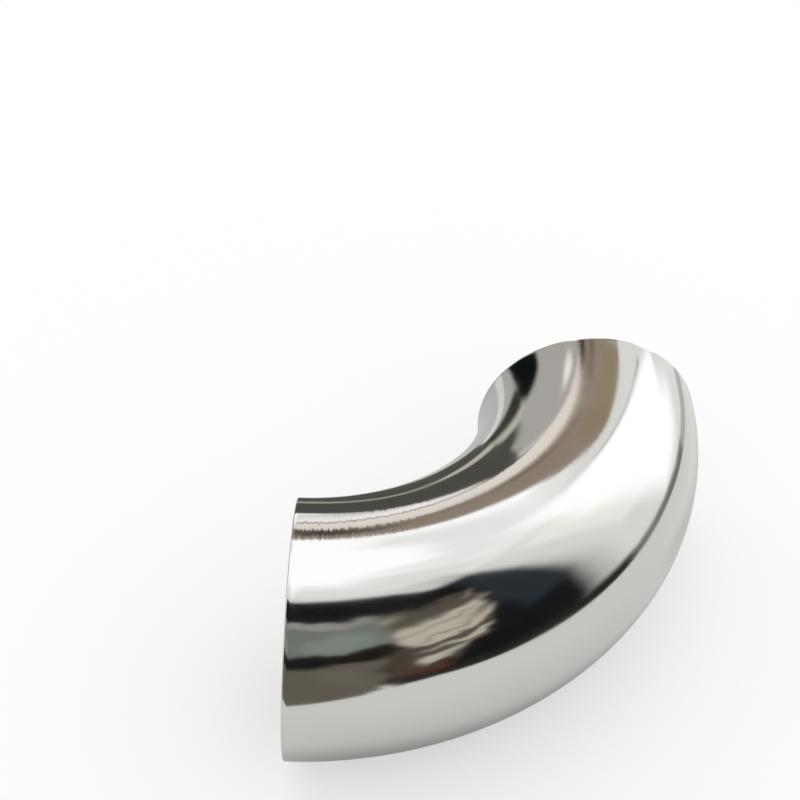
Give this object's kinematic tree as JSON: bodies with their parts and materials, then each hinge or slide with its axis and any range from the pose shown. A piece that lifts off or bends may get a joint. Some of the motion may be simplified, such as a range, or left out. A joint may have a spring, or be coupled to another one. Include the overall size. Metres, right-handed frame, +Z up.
{
  "type": "butt weld elbow",
  "caption": "Right-angle bend of thin polished stainless steel tube, with square-cut ends that are welded edge to edge to tubes of the same size.",
  "frame": {"origin": "centre of weld end A, on the plane of its face", "axes": "-X is the outward normal of weld end A, +Y is the outward normal of weld end B, and +Z is up, along the bend axis, with the elbow lying on its side"},
  "size_m": [0.0675, 0.0675, 0.038],
  "materials": {
    "polished_stainless": "mirror polished 304 stainless steel with fine buffing lines round the tube"
  },
  "bodies": {
    "root": {"elbow": "polished_stainless"}
  },
  "joints": []
}
